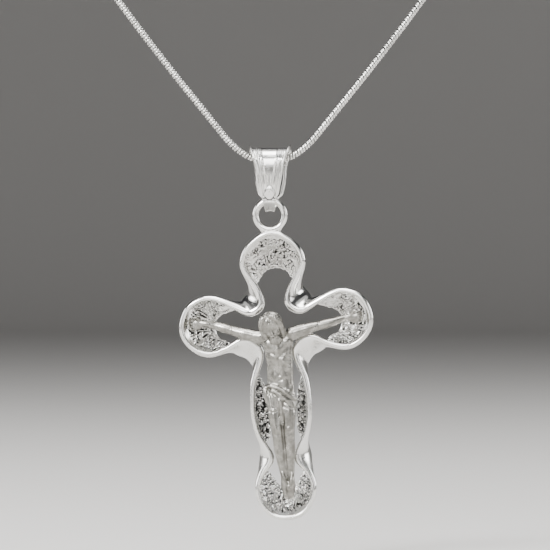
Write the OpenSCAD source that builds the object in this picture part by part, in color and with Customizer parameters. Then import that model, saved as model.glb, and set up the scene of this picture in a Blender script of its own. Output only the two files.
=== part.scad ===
// Crucifix pendant on its snake chain.
// A twisted open band of metal makes the cross, a cast figure lies in it, and a tapered
// bail carries both on the chain. Millimetres, +Z up, the front faces -Y. The origin is
// at the nape, where the clasp lies on the back of the neck.

/* [Chain] */
// Diameter of the snake chain
chain_d = 1.05; // [0.9:0.05:1.2]

/* [Clasp] */
// Diameter of the barrel clasp
clasp_d = 3.2; // [2.6:0.1:4.2]
// Length of the barrel clasp
clasp_length = 11; // [9:0.5:14]
// Depth of the socket that each end of the chain is glued into
socket_depth = 3; // [2:0.25:4]
// Gap between the chain and the wall of its socket
socket_gap = 0.08; // [0.05:0.01:0.15]

/* [Bail] */
// Drop from the centre of the chain to the centre of the ring's wire
bail_drop = 5.95; // [5.4:0.05:8]
// Thickness of the bail's strip
bail_strip = 0.55; // [0.4:0.05:0.8]
// Gap between the bail and the chain where the chain leaves it
bail_gap = 0.28; // [0.2:0.02:0.5]
// Width of the bail's front at the top, over its flared edges
bail_top_w = 6.3; // [5.4:0.1:7.2]
// Width of the bail at the bottom, where it holds the ring
bail_bottom_w = 2; // [1.6:0.05:2.2]
// How much wider the bail is at its back than at its front, on each side
bail_back_extra = 0.5; // [0.2:0.05:0.7]
// Height of the flared edges over the bail's face at the top
bail_flare = 0.5; // [0.3:0.05:0.7]
// Height of the ridges on the bail's face
bail_ridge = 0.16; // [0.1:0.02:0.24]

/* [Ring] */
// Outer diameter of the ring on top of the cross
ring_d = 5.26; // [5.1:0.02:6.3]
// Diameter of the ring's wire
ring_wire = 0.92; // [0.8:0.02:1]
// Gap between the ring's wire and the bail
ring_gap = 0.1; // [0.06:0.02:0.14]

/* [Cross] */
// Width of the cross from the tip of one arm to the other
cross_span = 29; // [25:0.5:34]
// Height of the cross without its ring
cross_height = 43.3; // [39:0.5:52]
// Depth of the band from its front edge to its back edge
band_depth = 4.5; // [4:0.1:5.5]
// Thickness of the band at its front edge
band_wall = 0.9; // [0.75:0.05:1.1]
// How far the middle of the band bows outwards
band_bow = 0.35; // [0.1:0.05:0.6]
// Lean of the cross as it hangs, foot to the right
cross_tilt = 3.4; // [0:0.2:5]
// Turn of the cross as it hangs, right arm to the front
cross_turn = 5; // [0:0.5:8]

/* [Figure] */
// Gap between the figure and the band that it lies on
figure_gap = 0.1; // [0.06:0.02:0.2]
// Width of the head with its hair
head_w = 3.7; // [3.2:0.1:4.2]
// Height of the head from the crown to the beard
head_h = 4.9; // [4.4:0.1:5.4]
// Depth of the head
head_depth = 3.4; // [3:0.1:4]
// Width of the chest
chest_w = 4.5; // [4:0.1:5]
// Depth of the chest
chest_depth = 1.9; // [1.6:0.1:2.4]
// Thickness of the upper arm
arm_d = 1.4; // [1.2:0.05:1.6]
// Thickness of the thigh
thigh_d = 2.15; // [1.9:0.05:2.4]

/* [Hidden] */
round_fn = 48;
limb_fn = 16;
fold_fn = 12;
head_fn = 20;

// Right half of the chain's route, from the middle of the bail to the clasp
// [to the right, back, up], in millimetres from the nape
chain_route = [
    [0, -124, -139],
    [1.5, -124, -138.8],
    [3, -124, -138.4],
    [4.5, -123.9, -137.5],
    [6, -123.7, -136.2],
    [8.1, -123.3, -133.7],
    [11, -122.5, -130.1],
    [14.6, -121.4, -125.6],
    [22.8, -118.5, -114.8],
    [31, -115, -103],
    [38.4, -111, -91],
    [44.8, -106, -79],
    [50.2, -100, -67],
    [54.6, -92, -55],
    [57.8, -82, -43.5],
    [59.8, -70, -33.5],
    [60.5, -56, -25],
    [59, -41, -17],
    [54.5, -27.5, -10.5],
    [46, -15.5, -5.5],
    [34, -6.8, -2.3],
    [20.5, -1.4, -0.4],
    [9, 0, 0],
    [5, 0, 0],
];
// Rings of the tube in each stretch between two points of the route
chain_steps = [1, 1, 1, 1, 1, 1, 1, 2, 2, 2, 2, 2, 2, 2, 2, 2, 3, 3, 2, 2, 2, 2, 1];
// How far the chain rises between the middle of the bail and its edge
chain_rise = 0.6;
hang = chain_route[0];
chain_r = chain_d / 2;
// The clasp's flat ends, its straight part and its groove, as shares of its radius, of
// half its length and of its radius
clasp_end = 0.6;
clasp_taper = 0.72;
clasp_groove = 0.12;

// Right half of the band's two edges, from the top of the cross to its foot
// [front across, front down, back across, back down], as shares of half the span
// and of the height
band_rows = [
    [0, 0, 0, 0.125],
    [0.117, 0.006, 0.066, 0.128],
    [0.283, 0.054, 0.131, 0.143],
    [0.328, 0.109, 0.172, 0.162],
    [0.248, 0.157, 0.2, 0.176],
    [0.176, 0.191, 0.228, 0.184],
    [0.11, 0.242, 0.276, 0.196],
    [0.145, 0.273, 0.324, 0.219],
    [0.262, 0.289, 0.366, 0.236],
    [0.4, 0.261, 0.414, 0.256],
    [0.593, 0.224, 0.503, 0.268],
    [0.717, 0.215, 0.572, 0.275],
    [0.903, 0.24, 0.641, 0.291],
    [1, 0.31, 0.669, 0.319],
    [0.972, 0.36, 0.648, 0.349],
    [0.855, 0.402, 0.614, 0.365],
    [0.724, 0.418, 0.566, 0.372],
    [0.607, 0.409, 0.531, 0.376],
    [0.497, 0.393, 0.497, 0.39],
    [0.414, 0.372, 0.476, 0.409],
    [0.338, 0.363, 0.421, 0.42],
    [0.234, 0.374, 0.345, 0.432],
    [0.155, 0.409, 0.29, 0.453],
    [0.172, 0.443, 0.262, 0.473],
    [0.221, 0.48, 0.248, 0.494],
    [0.272, 0.52, 0.207, 0.52],
    [0.3, 0.603, 0.141, 0.598],
    [0.283, 0.667, 0.138, 0.665],
    [0.234, 0.716, 0.166, 0.716],
    [0.166, 0.746, 0.207, 0.739],
    [0.11, 0.781, 0.241, 0.769],
    [0.131, 0.804, 0.245, 0.792],
    [0.214, 0.831, 0.228, 0.82],
    [0.283, 0.866, 0.179, 0.843],
    [0.303, 0.903, 0.138, 0.864],
    [0.269, 0.942, 0.093, 0.882],
    [0.166, 0.986, 0.05, 0.89],
    [0, 1, 0, 0.891],
];
band_steps = 3;
// Section of the band, from the middle of the front edge round by the inner face
// [share of the way across, side, share of the wall's half thickness]
rim_angles = [90, 45, 0, -45, -90];
face_places = [0.36, 0.7];
back_thin = 0.75;

// Ring and bail
wire_r = ring_wire / 2;
ring_r = ring_d / 2 - wire_r;
// Half the width of the bail where it goes through the ring, and its bend there, which
// stays clear of the ring's curved wire
grip_w = bail_bottom_w / 2 + bail_back_extra / 4;
bail_bottom_r = ring_r - sqrt(pow(ring_r - wire_r - ring_gap, 2) - pow(grip_w, 2));
bail_top_r = chain_r + chain_rise + bail_gap;
bail_top_out = bail_top_r + bail_strip;
bail_bottom_out = bail_bottom_r + bail_strip;
bail_reach = 2 * bail_drop;
bail_slant = atan(bail_back_extra / (2 * bail_top_out));
// Right edge of the bail's front, [share of half the top width, share of the drop]
bail_edge = [[1, 0.42], [0.84, 0.2], [0.7, 0], [0.41, -0.82]];
// Share of the drop at which the bail gets its bottom width
bail_narrow = 0.92;
// Width of the flared edges, and their share of the height left at the bottom
edge_w = 0.3;
edge_end = 0.25;
// Right side of the two ridge lines, [share of half the top width, share of the drop]
ridge_line = [[0.56, 0.32], [0.25, -0.84]];
panel_line = [[0.42, 0.32], [0.07, -0.7]];
ridge_w = 0.22;
// The cross hangs with its weight under the ring, so its middle lies behind the ring
cross_back = 1.27;
// How far the top of the cross reaches into the ring's wire
ring_sink = 0.23;
// Foot of the ring, right half, [share of the ring's outer radius, the same downwards]
ring_foot = [[0.34, 0.76], [0.58, 1.31]];
foot_depth = 0.8;
foot_back = 0.35;

// Figure: where its parts lie. Arms and hands, then legs and feet:
// [across, down, where its back lies, thickness], as shares of half the span, of the
// height, of half the band's depth and of the thickness of the upper arm or thigh
left_arm = [
    [-0.17, 0.36, 1.03, 1.2],
    [-0.325, 0.349, 1, 1.06],
    [-0.47, 0.335, 0.9, 0.9],
    [-0.583, 0.321, 0.72, 0.98],
    [-0.733, 0.306, 0.5, 0.66],
];
right_arm = [
    [0.172, 0.353, 1.03, 1.2],
    [0.303, 0.346, 1, 1.06],
    [0.446, 0.336, 0.9, 0.9],
    [0.569, 0.328, 0.72, 0.98],
    [0.707, 0.319, 0.5, 0.66],
];
// The open hands lie on the slope of the band, fingers up it
left_hand = [
    [-0.733, 0.306, 0.5, 0.66],
    [-0.82, 0.292, 0.44, 0.6],
    [-0.825, 0.314, 0.44, 0.6],
    [-0.888, 0.286, 0.86, 0.36],
    [-0.885, 0.308, 0.84, 0.36],
];
right_hand = [
    [0.707, 0.319, 0.5, 0.66],
    [0.815, 0.303, 0.44, 0.6],
    [0.82, 0.326, 0.44, 0.6],
    [0.883, 0.303, 0.86, 0.36],
    [0.888, 0.324, 0.84, 0.36],
];
// Body and loincloth, the last two as shares of the width and depth of the chest
// [across, down, where its back lies, width, depth]
torso = [
    [0.018, 0.402, 1.03, 0.93, 1],
    [0.022, 0.448, 1.03, 0.88, 0.96],
    [0.014, 0.5, 1.03, 0.8, 0.8],
    [0.012, 0.545, 1.03, 0.88, 0.85],
];
cloth = [
    [0.012, 0.548, 1.03, 0.95, 1],
    [0.012, 0.58, 1.03, 0.97, 1.1],
    [0.01, 0.608, 1.03, 0.93, 1.16],
];
// Rolled folds of the loincloth, the last two as shares of the depth and width of the chest
// [across, down, forward from the back of the hips, thickness]
cloth_roll = [[-0.13, 0.528, 0.7, 0.12], [-0.02, 0.536, 0.86, 0.2], [0.145, 0.578, 0.72, 0.2]];
cloth_fold = [[0, 0.562, 0.98, 0.15], [0.07, 0.584, 1, 0.17], [0.135, 0.606, 0.8, 0.14]];
cloth_knot = [[-0.145, 0.536, 0.5, 0.18], [-0.135, 0.575, 0.6, 0.14], [-0.12, 0.62, 0.66, 0.12]];
cloth_drape = [[0.015, 0.6, 0.98, 0.3], [0.01, 0.64, 0.95, 0.24], [0.01, 0.68, 0.92, 0.12]];
left_leg = [
    [-0.062, 0.565, 1.03, 1],
    [-0.065, 0.626, 1.06, 1],
    [-0.046, 0.69, 1.28, 0.82],
    [-0.038, 0.75, 1.1, 0.84],
    [-0.014, 0.852, 1, 0.52],
];
right_leg = [
    [0.08, 0.565, 1.03, 1],
    [0.083, 0.626, 1.06, 1],
    [0.073, 0.69, 1.28, 0.82],
    [0.066, 0.75, 1.1, 0.84],
    [0.054, 0.852, 1, 0.52],
];
left_foot = [[-0.014, 0.852, 1, 0.52], [-0.01, 0.89, 0.7, 0.52], [0.005, 0.926, 0.36, 0.42]];
right_foot = [[0.054, 0.852, 1, 0.52], [0.052, 0.886, 0.96, 0.52], [0.044, 0.922, 0.6, 0.42]];
head_place = [-0.042, 0.335];
head_back = 1.1;
head_lean = 12;
head_bow = 22;
// [across, forward, up, width, depth, height], as shares of the head's half sizes
head_parts = [
    [0, -0.1, 0.1, 1, 0.9, 0.88],
    [0, 0.3, -0.1, 0.66, 0.62, 0.72],
    [0, 0.36, -0.62, 0.42, 0.42, 0.38],
    [-0.66, -0.2, -0.5, 0.34, 0.5, 0.62],
    [0.66, -0.2, -0.5, 0.34, 0.5, 0.62],
    [0, 0.86, -0.12, 0.13, 0.16, 0.24],
];
// The neck starts here, between the shoulders, and ends in the middle of the head
throat = [0.01, 0.375, 1.1, 1.1];

// Smooth curve through points, with even speed at each of them
function at(p, i, closed) =
    closed ? p[(i + len(p)) % len(p)] : p[min(max(i, 0), len(p) - 1)];
function slope(p, i, closed) =
    let (a = at(p, i - 1, closed), b = at(p, i, closed), c = at(p, i + 1, closed))
    (c - a) / (norm(b - a) + norm(c - b));
function blend(a, b, ta, tb, t) =
    let (d = norm(b - a), s = 1 - t)
    s * s * (1 + 2 * t) * a + t * t * (3 - 2 * t) * b + d * t * s * (s * ta - t * tb);
function curve(p, steps, closed) =
    [for (i = [0 : len(p) - (closed ? 1 : 2)])
        for (k = [0 : steps[i] - 1])
            blend(p[i], at(p, i + 1, closed), slope(p, i, closed),
                slope(p, i + 1, closed), k / steps[i])];
function unit(v) = v / norm(v);
function turned(list) = [for (i = [len(list) - 1 : -1 : 0]) list[i]];
function same(value, count) = [for (i = [1 : count]) value];

// Solid skin over a row of rings that have the same number of points
module skin(rings, closed) {
    n = len(rings);
    m = len(rings[0]);
    last = closed ? n - 1 : n - 2;
    sides = [for (i = [0 : last])
        for (k = [0 : m - 1])
            let (j = (i + 1) % n, l = (k + 1) % m)
            each [[i * m + k, j * m + k, j * m + l], [i * m + k, j * m + l, i * m + l]]];
    caps = closed ? [] : [[for (k = [0 : m - 1]) k],
        [for (k = [m - 1 : -1 : 0]) (n - 1) * m + k]];
    polyhedron([for (ring = rings) each ring], concat(caps, sides), convexity = 10);
}

// Chain: one tube along its whole route
chain_points = let (
        half = concat(curve(chain_route, chain_steps, false), [chain_route[len(chain_route) - 1]]),
        socket = [[clasp_length / 2 - socket_depth + socket_gap, 0, 0]],
        right = concat(half, socket))
    concat([for (p = turned(right)) [-p[0], p[1], p[2]]], [for (i = [1 : len(right) - 1]) right[i]]);
chain_sides = 8;
// The loop of the chain lies close to one plane, and this points out of that plane
loop_normal = unit(cross([1, 0, 0], hang));

module chain() {
    color("silver") skin([for (i = [0 : len(chain_points) - 1])
        let (
            along = unit(at(chain_points, i + 1, false) - at(chain_points, i - 1, false)),
            side = unit(cross(along, loop_normal)),
            up = cross(along, side))
        [for (k = [0 : chain_sides - 1])
            let (a = 360 * (k + 0.5) / chain_sides)
            chain_points[i] + chain_r * (cos(a) * side + sin(a) * up)]], false);
}

// Clasp: a plain barrel at the nape, with a blind socket in each end
module clasp() {
    half = clasp_length / 2;
    r = clasp_d / 2;
    hole = chain_r + socket_gap;
    groove = r * clasp_groove;
    neck = half * clasp_taper;
    color("silver") rotate([0, 90, 0]) difference() {
        rotate_extrude($fn = round_fn) polygon([
            [0, -half], [r * clasp_end, -half], [r, -neck], [r, -groove], [r - groove, 0],
            [r, groove], [r, neck], [r * clasp_end, half], [0, half]]);
        for (s = [-1, 1])
            translate([0, 0, s * half])
                cylinder(r = hole, h = 2 * socket_depth, center = true, $fn = round_fn);
    }
}

// Side outline of a strap round two round bars, one under the other
module strap_outline(top_r, bottom_r, drop) {
    lean = asin((top_r - bottom_r) / drop);
    out = [cos(lean), -sin(lean)];
    circle(r = top_r, $fn = round_fn);
    translate([0, -drop]) circle(r = bottom_r, $fn = round_fn);
    polygon([
        top_r * out, [top_r * -out[0], top_r * out[1]],
        [bottom_r * -out[0], bottom_r * out[1] - drop], bottom_r * out - [0, drop]]);
}

module strap(top_r, bottom_r) {
    rotate([90, 0, 90]) linear_extrude(bail_reach, center = true)
        strap_outline(top_r, bottom_r, bail_drop);
}

// The bent strip with nothing cut from its sides, thicker by what is added
module strip(added) {
    difference() {
        strap(bail_top_out + added, bail_bottom_out + edge_end * added);
        strap(bail_top_r, bail_bottom_r);
    }
}

// All that lies left of the bail's right edge, which slants outwards to the back
module right_cut(inset) {
    w = bail_top_w / 2;
    shift = bail_back_extra / 2 - inset;
    foot = -bail_drop - 2 * bail_bottom_out;
    bottom = bail_bottom_w / 2 - inset;
    side = concat([for (p = bail_edge) [p[0] * w + shift, p[1] * bail_drop]],
        [[bottom, -bail_narrow * bail_drop], [bottom, foot]]);
    rotate([90, 0, -bail_slant]) linear_extrude(2 * bail_reach, center = true)
        polygon(concat(side, [[-bail_reach, foot], [-bail_reach, side[0][1]]]));
}

module bail_taper(inset) {
    intersection() {
        right_cut(inset);
        mirror([1, 0, 0]) right_cut(inset);
    }
}

// A straight ridge of even width on the front, on both sides of the middle
module ridge(line) {
    w = bail_top_w / 2;
    a = [line[0][0] * w, line[0][1] * bail_drop];
    b = [line[1][0] * w, line[1][1] * bail_drop];
    for (s = [-1, 1])
        rotate([90, 0, 0]) linear_extrude(bail_reach)
            polygon([[s * a[0], a[1]], [s * (a[0] - ridge_w), a[1]],
                [s * (b[0] - ridge_w), b[1]], [s * b[0], b[1]]]);
}

module bail_body() {
    intersection() {
        strip(0);
        bail_taper(0);
    }
    intersection() {
        strip(bail_flare);
        difference() {
            bail_taper(0);
            bail_taper(edge_w);
        }
    }
    intersection() {
        strip(bail_ridge);
        union() {
            ridge(ridge_line);
            ridge(panel_line);
        }
    }
}

module bail() {
    color("gainsboro") translate(hang) bail_body();
}

// Cross: places on it are measured from the centre of its ring
half_span = cross_span / 2;
half_depth = band_depth / 2;
cross_top = ring_d / 2 - ring_sink;
function on_cross(across, down) = [across * half_span, -cross_top - down * cross_height];

function bow(t) = band_bow * 4 * t * (1 - t);

// One section of the band, as a closed row of points
function band_section(front, back, along) =
    let (
        across = unit(back - front),
        out = unit(cross(along, across)),
        length = norm(back - front),
        r = band_wall / 2,
        r_back = r * back_thin,
        rim = [for (a = rim_angles) [r * (1 - cos(a)), r * sin(a)]],
        rim_back = [for (a = [-90, 0, 90]) [length - r_back * (1 - cos(a)), r_back * sin(a)]],
        inner = [for (t = face_places) [t * length, bow(t) - r - t * (r_back - r)]],
        outer = [for (t = turned(face_places)) [t * length, bow(t) + r + t * (r_back - r)]])
    [for (p = concat(rim, inner, rim_back, outer)) front + p[0] * across + p[1] * out];

band_loop = let (
        inner = [for (i = [1 : len(band_rows) - 2]) band_rows[i]],
        left = [for (p = turned(inner)) [-p[0], p[1], -p[2], p[3]]],
        last = [band_rows[0]],
        rows = [for (p = concat(last, inner, [band_rows[len(band_rows) - 1]], left))
            concat(on_cross(p[0], p[1]), on_cross(p[2], p[3]))])
    curve(rows, same(band_steps, len(rows)), true);

module band() {
    skin([for (i = [0 : len(band_loop) - 1])
        let (
            p = band_loop[i],
            step = at(band_loop, i + 1, true) - at(band_loop, i - 1, true),
            along = [step[0] + step[2], 0, step[1] + step[3]])
        band_section([p[0], -half_depth, p[1]], [p[2], half_depth, p[3]], along)], true);
}

module ring() {
    rotate([90, 0, 0]) {
        rotate_extrude($fn = round_fn) translate([ring_r, 0]) circle(r = wire_r, $fn = round_fn / 2);
        translate([0, 0, -foot_back]) linear_extrude(foot_depth, center = true)
            polygon(ring_d / 2 * [
                [-ring_foot[0][0], -ring_foot[0][1]], [ring_foot[0][0], -ring_foot[0][1]],
                [ring_foot[1][0], -ring_foot[1][1]], [-ring_foot[1][0], -ring_foot[1][1]]]);
    }
}

// Puts the cross under the bail, leaning and turned as it hangs
module hung() {
    translate(hang + [0, 0, -bail_drop - ring_r])
        rotate([0, 0, -cross_turn]) rotate([0, -cross_tilt, 0]) children();
}

module cross_frame() {
    color("silver") hung() {
        ring();
        translate([0, cross_back, 0]) band();
    }
}

// Figure: a ball of a limb, and a limb through a row of balls
function limb_place(p, depth) =
    let (c = on_cross(p[0], p[1]))
    [c[0], -p[2] * half_depth - figure_gap - depth / 2, c[1]];

module ball(p, size) {
    translate(limb_place(p, p[3] * size)) sphere(d = p[3] * size, $fn = limb_fn);
}

module limb(row, size) {
    for (i = [0 : len(row) - 2])
        hull() {
            ball(row[i], size);
            ball(row[i + 1], size);
        }
}

module slab(p) {
    w = p[3] * chest_w;
    d = p[4] * chest_depth;
    translate(limb_place(p, d)) scale([w, d, d]) sphere(d = 1, $fn = head_fn);
}

module trunk(row) {
    for (i = [0 : len(row) - 2])
        hull() {
            slab(row[i]);
            slab(row[i + 1]);
        }
}

// A rolled fold lies on the front of the loincloth
module roll(row) {
    for (i = [0 : len(row) - 2])
        hull()
            for (p = [row[i], row[i + 1]]) {
                c = on_cross(p[0], p[1]);
                translate([c[0], -torso[0][2] * half_depth - figure_gap - p[2] * chest_depth, c[1]])
                    sphere(d = p[3] * chest_w, $fn = fold_fn);
            }
}

module head() {
    half = [head_w, head_depth, head_h] / 2;
    translate(limb_place(concat(head_place, head_back), head_depth))
        rotate([head_bow, -head_lean, 0])
            for (p = head_parts)
                translate([p[0] * half[0], -p[1] * half[1], p[2] * half[2]])
                    scale([p[3] * half[0], p[4] * half[1], p[5] * half[2]])
                        sphere(r = 1, $fn = head_fn);
}

module shoulders() {
    hull() {
        ball(left_arm[0], arm_d);
        ball(right_arm[0], arm_d);
        slab(torso[0]);
    }
    hull() {
        ball(throat, arm_d);
        translate(limb_place(concat(head_place, head_back), head_depth))
            sphere(d = throat[3] * arm_d, $fn = limb_fn);
    }
}

module hand(row) {
    hull()
        for (p = row)
            ball(p, arm_d);
}

module corpus() {
    color("lightgray") hung() translate([0, cross_back, 0]) {
        shoulders();
        limb(left_arm, arm_d);
        limb(right_arm, arm_d);
        hand(left_hand);
        hand(right_hand);
        trunk(torso);
        trunk(cloth);
        roll(cloth_roll);
        roll(cloth_fold);
        roll(cloth_knot);
        roll(cloth_drape);
        limb(left_leg, thigh_d);
        limb(right_leg, thigh_d);
        limb(left_foot, thigh_d);
        limb(right_foot, thigh_d);
        head();
    }
}

chain();
clasp();
bail();
cross_frame();
corpus();
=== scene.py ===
import math

import bmesh
import bpy
import numpy as np
from mathutils import Matrix, Vector, noise
from mathutils.kdtree import KDTree


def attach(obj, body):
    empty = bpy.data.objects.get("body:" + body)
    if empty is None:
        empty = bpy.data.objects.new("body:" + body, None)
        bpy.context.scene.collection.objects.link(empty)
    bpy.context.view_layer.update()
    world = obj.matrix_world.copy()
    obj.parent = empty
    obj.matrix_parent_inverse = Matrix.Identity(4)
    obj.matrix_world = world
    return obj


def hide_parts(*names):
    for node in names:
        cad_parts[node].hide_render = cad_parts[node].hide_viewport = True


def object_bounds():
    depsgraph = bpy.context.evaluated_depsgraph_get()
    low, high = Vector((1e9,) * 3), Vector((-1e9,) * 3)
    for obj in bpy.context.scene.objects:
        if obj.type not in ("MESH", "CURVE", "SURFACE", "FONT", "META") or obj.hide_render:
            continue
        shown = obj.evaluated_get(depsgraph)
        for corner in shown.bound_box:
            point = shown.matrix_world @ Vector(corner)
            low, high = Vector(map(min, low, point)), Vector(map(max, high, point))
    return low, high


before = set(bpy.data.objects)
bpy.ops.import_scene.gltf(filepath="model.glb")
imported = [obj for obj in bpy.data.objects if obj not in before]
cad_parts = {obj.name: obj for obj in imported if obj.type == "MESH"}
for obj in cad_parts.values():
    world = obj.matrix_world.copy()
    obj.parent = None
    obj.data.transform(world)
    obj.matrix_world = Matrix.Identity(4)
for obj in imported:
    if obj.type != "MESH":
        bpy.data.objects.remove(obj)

cad_box = [list(corner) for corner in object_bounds()]
mm = 0.001

# Camera: level with the pendant and straight in front of it, with a long lens that takes
# in 82.5 mm at its depth. Lengths are in millimetres until they are written to a mesh.
view_middle = Vector((0.75, -124, -156.1))
view_width = 82.5
view_distance = 700
camera_data = bpy.data.cameras.new("camera")
camera_data.angle = 2 * math.atan(view_width / 2 / view_distance)
camera_data.clip_start = 10 * mm
camera = bpy.data.objects.new("camera", camera_data)
camera.location = (view_middle - Vector((0, view_distance, 0))) * mm
camera.rotation_euler = (math.pi / 2, 0, 0)
bpy.context.scene.collection.objects.link(camera)
bpy.context.scene.camera = camera

# Chain: a snake chain of sterling silver, 1.05 mm thick. Its links are short rings, joined
# so closely that they make one slanted rope, and the whole was tumbled until it shone.
chain_r = 0.525
link_pitch = 0.45
link_length = 0.38
link_edge = 0.11
link_sides = 14
link_slant = 24  # degrees
chain_colour = "#EFEEEA"
chain_haze = "#C9C8C4"
# Dark colour painted into gaps, pits and hollows, partly as tarnish and partly as shade
tarnish_and_shade_colour = "#2B2A28"
tarnish_roughness = 0.5
# The right half of its course, from its lowest point, where the bail hangs, to the clasp
hang = Vector((0, -124, -139))
chain_route = [
    tuple(hang), (1.5, -124, -138.8), (3, -124, -138.4), (4.5, -123.9, -137.5),
    (6, -123.7, -136.2), (8.1, -123.3, -133.7), (11, -122.5, -130.1), (14.6, -121.4, -125.6),
    (22.8, -118.5, -114.8), (31, -115, -103), (38.4, -111, -91), (44.8, -106, -79),
    (50.2, -100, -67), (54.6, -92, -55), (57.8, -82, -43.5), (59.8, -70, -33.5),
    (60.5, -56, -25), (59, -41, -17), (54.5, -27.5, -10.5), (46, -15.5, -5.5),
    (34, -6.8, -2.3), (20.5, -1.4, -0.4), (9, 0, 0), (5, 0, 0), (2.7, 0, 0)]


def add_piece(name, mesh_data, body, material):
    """A mesh as a piece of the object that rides on a body and fills a material slot."""
    piece = bpy.data.objects.new(name, mesh_data)
    bpy.context.scene.collection.objects.link(piece)
    mesh_data.materials.clear()
    mesh_data.materials.append(material)
    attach(piece, body)
    return piece


def linear(hex_colour):
    """An sRGB hex colour as the linear colour that a shader takes."""
    shares = [int(hex_colour[i:i + 2], 16) / 255 for i in (1, 3, 5)]
    return [s / 12.92 if s <= 0.04045 else ((s + 0.055) / 1.055) ** 2.4 for s in shares] + [1]


def add_node(material, kind, inputs=None, **settings):
    """A shader node with its settings, its values and its links."""
    node = material.node_tree.nodes.new("ShaderNode" + kind)
    for name, value in settings.items():
        setattr(node, name, value)
    for name, value in (inputs or {}).items():
        if isinstance(value, bpy.types.NodeSocket):
            material.node_tree.links.new(value, node.inputs[name])
        else:
            node.inputs[name].default_value = value
    return node


def polished_silver(name, colour, haze, roughness, swirl_mm, dent_mm):
    """Sterling silver from the polishing wheel: bright, with faint dents of the casting and
    a haze where fingers have touched it. Gaps and pits, where the mesh has its attribute
    tarnish_and_shade, are painted black and dull, partly as tarnish and partly as shade."""
    material = bpy.data.materials.new(name)
    material.use_nodes = True
    tree = material.node_tree
    shader = tree.nodes["Principled BSDF"]
    place = add_node(material, "TexCoord").outputs["Object"]
    # Rubbed places are brighter and glossier than the hazy ones between them
    swirl = add_node(material, "TexNoise", {"Vector": place, "Scale": 1 / (swirl_mm * mm),
                                            "Detail": 4})
    rubbed = add_node(material, "MapRange", {"Value": swirl.outputs["Fac"], "From Min": 0.35,
                                             "From Max": 0.62}).outputs["Result"]
    bright = add_node(material, "Mix", {0: rubbed, 6: linear(haze), 7: linear(colour)},
                      data_type="RGBA")
    gloss = add_node(material, "Mix", {0: rubbed, 2: roughness * 1.4, 3: roughness * 0.7})
    tarnish_and_shade = add_node(material, "Attribute", attribute_name="tarnish_and_shade").outputs["Fac"]
    depth = add_node(material, "MapRange", {"Value": tarnish_and_shade, "From Min": 0.2, "From Max": 0.7})
    deep = depth.outputs["Result"]
    # Painted shade and tarnish: the dark colour fills the gaps, pits and hollows
    tone = add_node(material, "Mix", {0: deep, 6: bright.outputs[2], 7: linear(tarnish_and_shade_colour)},
                    data_type="RGBA")
    rough = add_node(material, "Mix", {0: deep, 2: gloss.outputs[0], 3: tarnish_roughness})
    dents = add_node(material, "TexNoise", {"Vector": place, "Scale": 1 / (dent_mm * mm),
                                            "Detail": 2})
    bump = add_node(material, "Bump", {"Height": dents.outputs["Fac"], "Strength": 0.25,
                                       "Distance": 0.05 * mm})
    tree.links.new(tone.outputs[2], shader.inputs["Base Color"])
    tree.links.new(rough.outputs[0], shader.inputs["Roughness"])
    tree.links.new(bump.outputs["Normal"], shader.inputs["Normal"])
    shader.inputs["Metallic"].default_value = 1
    return material


def route_curve(points):
    """A smooth curve through the points, and its length in millimetres."""
    data = bpy.data.curves.new("route", "CURVE")
    data.dimensions = "3D"
    data.twist_mode = "Z_UP"
    data.resolution_u = 16
    spline = data.splines.new("BEZIER")
    spline.bezier_points.add(len(points) - 1)
    for knot, point in zip(spline.bezier_points, points):
        knot.co = Vector(point) * mm
        knot.handle_left_type = knot.handle_right_type = "AUTO"
    route = bpy.data.objects.new("route", data)
    bpy.context.scene.collection.objects.link(route)
    bpy.context.view_layer.update()
    return route, spline.calc_length() / mm


# The two links of a pair differ a little in girth and lean, so that every second one
# shines. The flat ends of each lie in the gaps and are painted black as shade.
link_pair = bmesh.new()
gap_shade = link_pair.verts.layers.float.new("tarnish_and_shade")
for start, girth, lean in ((0, 1.04, 5), (link_pitch, 0.96, -5)):
    link = bmesh.ops.create_cone(
        link_pair, cap_ends=True, segments=link_sides, radius1=chain_r * girth,
        radius2=chain_r * girth, depth=link_length,
        matrix=Matrix.Translation((start + link_pitch / 2, 0, 0))
        @ Matrix.Rotation(math.radians(link_slant + lean), 4, "Y")
        @ Matrix.Rotation(math.radians(90), 4, "Y"))["verts"]
    rims = {edge for vert in link for edge in vert.link_edges
            if any(len(face.verts) == link_sides for face in edge.link_faces)}
    bmesh.ops.bevel(link_pair, geom=list(rims), offset=link_edge, offset_type="OFFSET",
                    segments=2, profile=0.5, affect="EDGES", material=-1)
bmesh.ops.scale(link_pair, vec=(mm, mm, mm), verts=link_pair.verts)
for face in link_pair.faces:
    face.smooth = True
    # Painted shade: the flat ends between the links are blackened
    if len(face.verts) == link_sides:
        for vert in face.verts:
            vert[gap_shade] = 1
pair_mesh = bpy.data.meshes.new("link_pair")
link_pair.to_mesh(pair_mesh)
link_pair.free()
pair = bpy.data.objects.new("link_pair", pair_mesh)
bpy.context.scene.collection.objects.link(pair)
left_half = [(-x, y, z) for x, y, z in reversed(chain_route[1:])]
route, route_length = route_curve(left_half + chain_route)
repeat = pair.modifiers.new("links", "ARRAY")
repeat.use_relative_offset = False
repeat.use_constant_offset = True
repeat.constant_offset_displace = (2 * link_pitch * mm, 0, 0)
repeat.count = int(route_length / (2 * link_pitch))
bend = pair.modifiers.new("route", "CURVE")
bend.object = route
bend.deform_axis = "POS_X"
depsgraph = bpy.context.evaluated_depsgraph_get()
chain_mesh = bpy.data.meshes.new_from_object(pair.evaluated_get(depsgraph))
bpy.data.objects.remove(pair)
bpy.data.objects.remove(route)
chain_silver = polished_silver("tumbled_sterling_silver", chain_colour, chain_haze,
                               roughness=0.2, swirl_mm=2.5, dent_mm=0.3)
chain = add_piece("snake_chain", chain_mesh, "necklace", chain_silver)
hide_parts("chain")

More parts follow.
